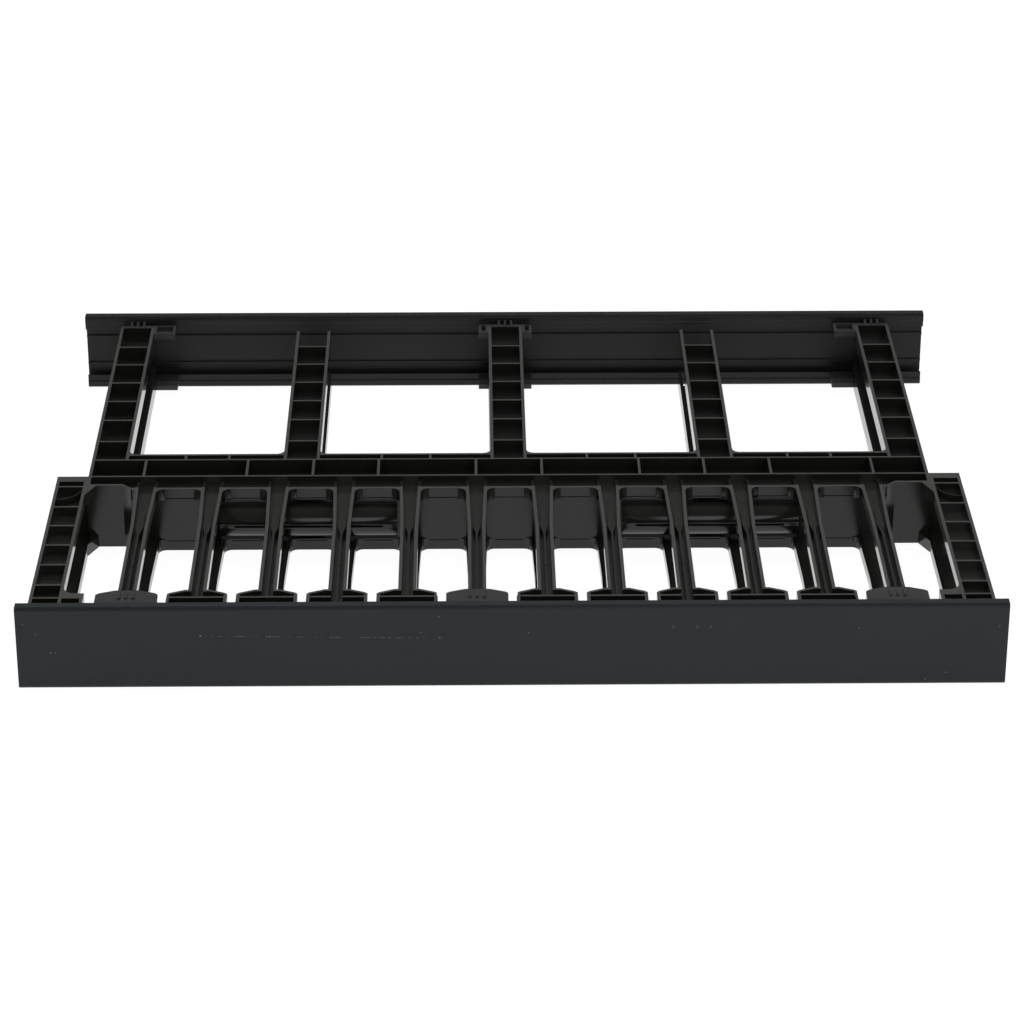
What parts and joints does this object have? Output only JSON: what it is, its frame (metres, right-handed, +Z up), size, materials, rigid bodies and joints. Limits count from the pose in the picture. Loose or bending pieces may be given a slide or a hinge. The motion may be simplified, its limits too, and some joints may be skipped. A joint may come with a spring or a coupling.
{
  "type": "horizontal cable manager",
  "caption": "Horizontal rack cable manager with front and rear cable channels, slotted fingers, pass-through ports and a hinged cover on each side.",
  "frame": {"origin": "rack rail plane at the back of the ears, midway across and at mid height", "axes": "+X across the rack to the right seen from the front, +Y from the front cover to the rear cover, +Z up"},
  "size_m": [0.4826, 0.3666, 0.0444],
  "materials": {
    "frame_plastic": "gloss",
    "clip_plastic": "matte",
    "cover_plastic": "satin"
  },
  "bodies": {
    "body": {"upper_frame": "frame_plastic", "lower_frame": "frame_plastic", "front_hinge_clip_left": "clip_plastic", "front_hinge_clip_centre": "clip_plastic", "front_hinge_clip_right": "clip_plastic", "front_latch_clip_left": "clip_plastic", "front_latch_clip_centre": "clip_plastic", "front_latch_clip_right": "clip_plastic", "rear_hinge_clip_left": "clip_plastic", "rear_hinge_clip_centre": "clip_plastic", "rear_hinge_clip_right": "clip_plastic", "rear_latch_clip_left": "clip_plastic", "rear_latch_clip_centre": "clip_plastic", "rear_latch_clip_right": "clip_plastic"},
    "front_cover": {"front_cover": "cover_plastic"},
    "rear_cover": {"rear_cover": "cover_plastic"}
  },
  "joints": [
    {"name": "front_cover_hinge", "type": "hinge", "parent": "body", "child": "front_cover", "pos_m": [0, -0.1529, 0.0176], "axis": [-1, 0, 0], "range_deg": [0, 95]},
    {"name": "rear_cover_hinge", "type": "hinge", "parent": "body", "child": "rear_cover", "pos_m": [0, 0.2061, 0.0176], "axis": [1, 0, 0], "range_deg": [0, 95]}
  ]
}
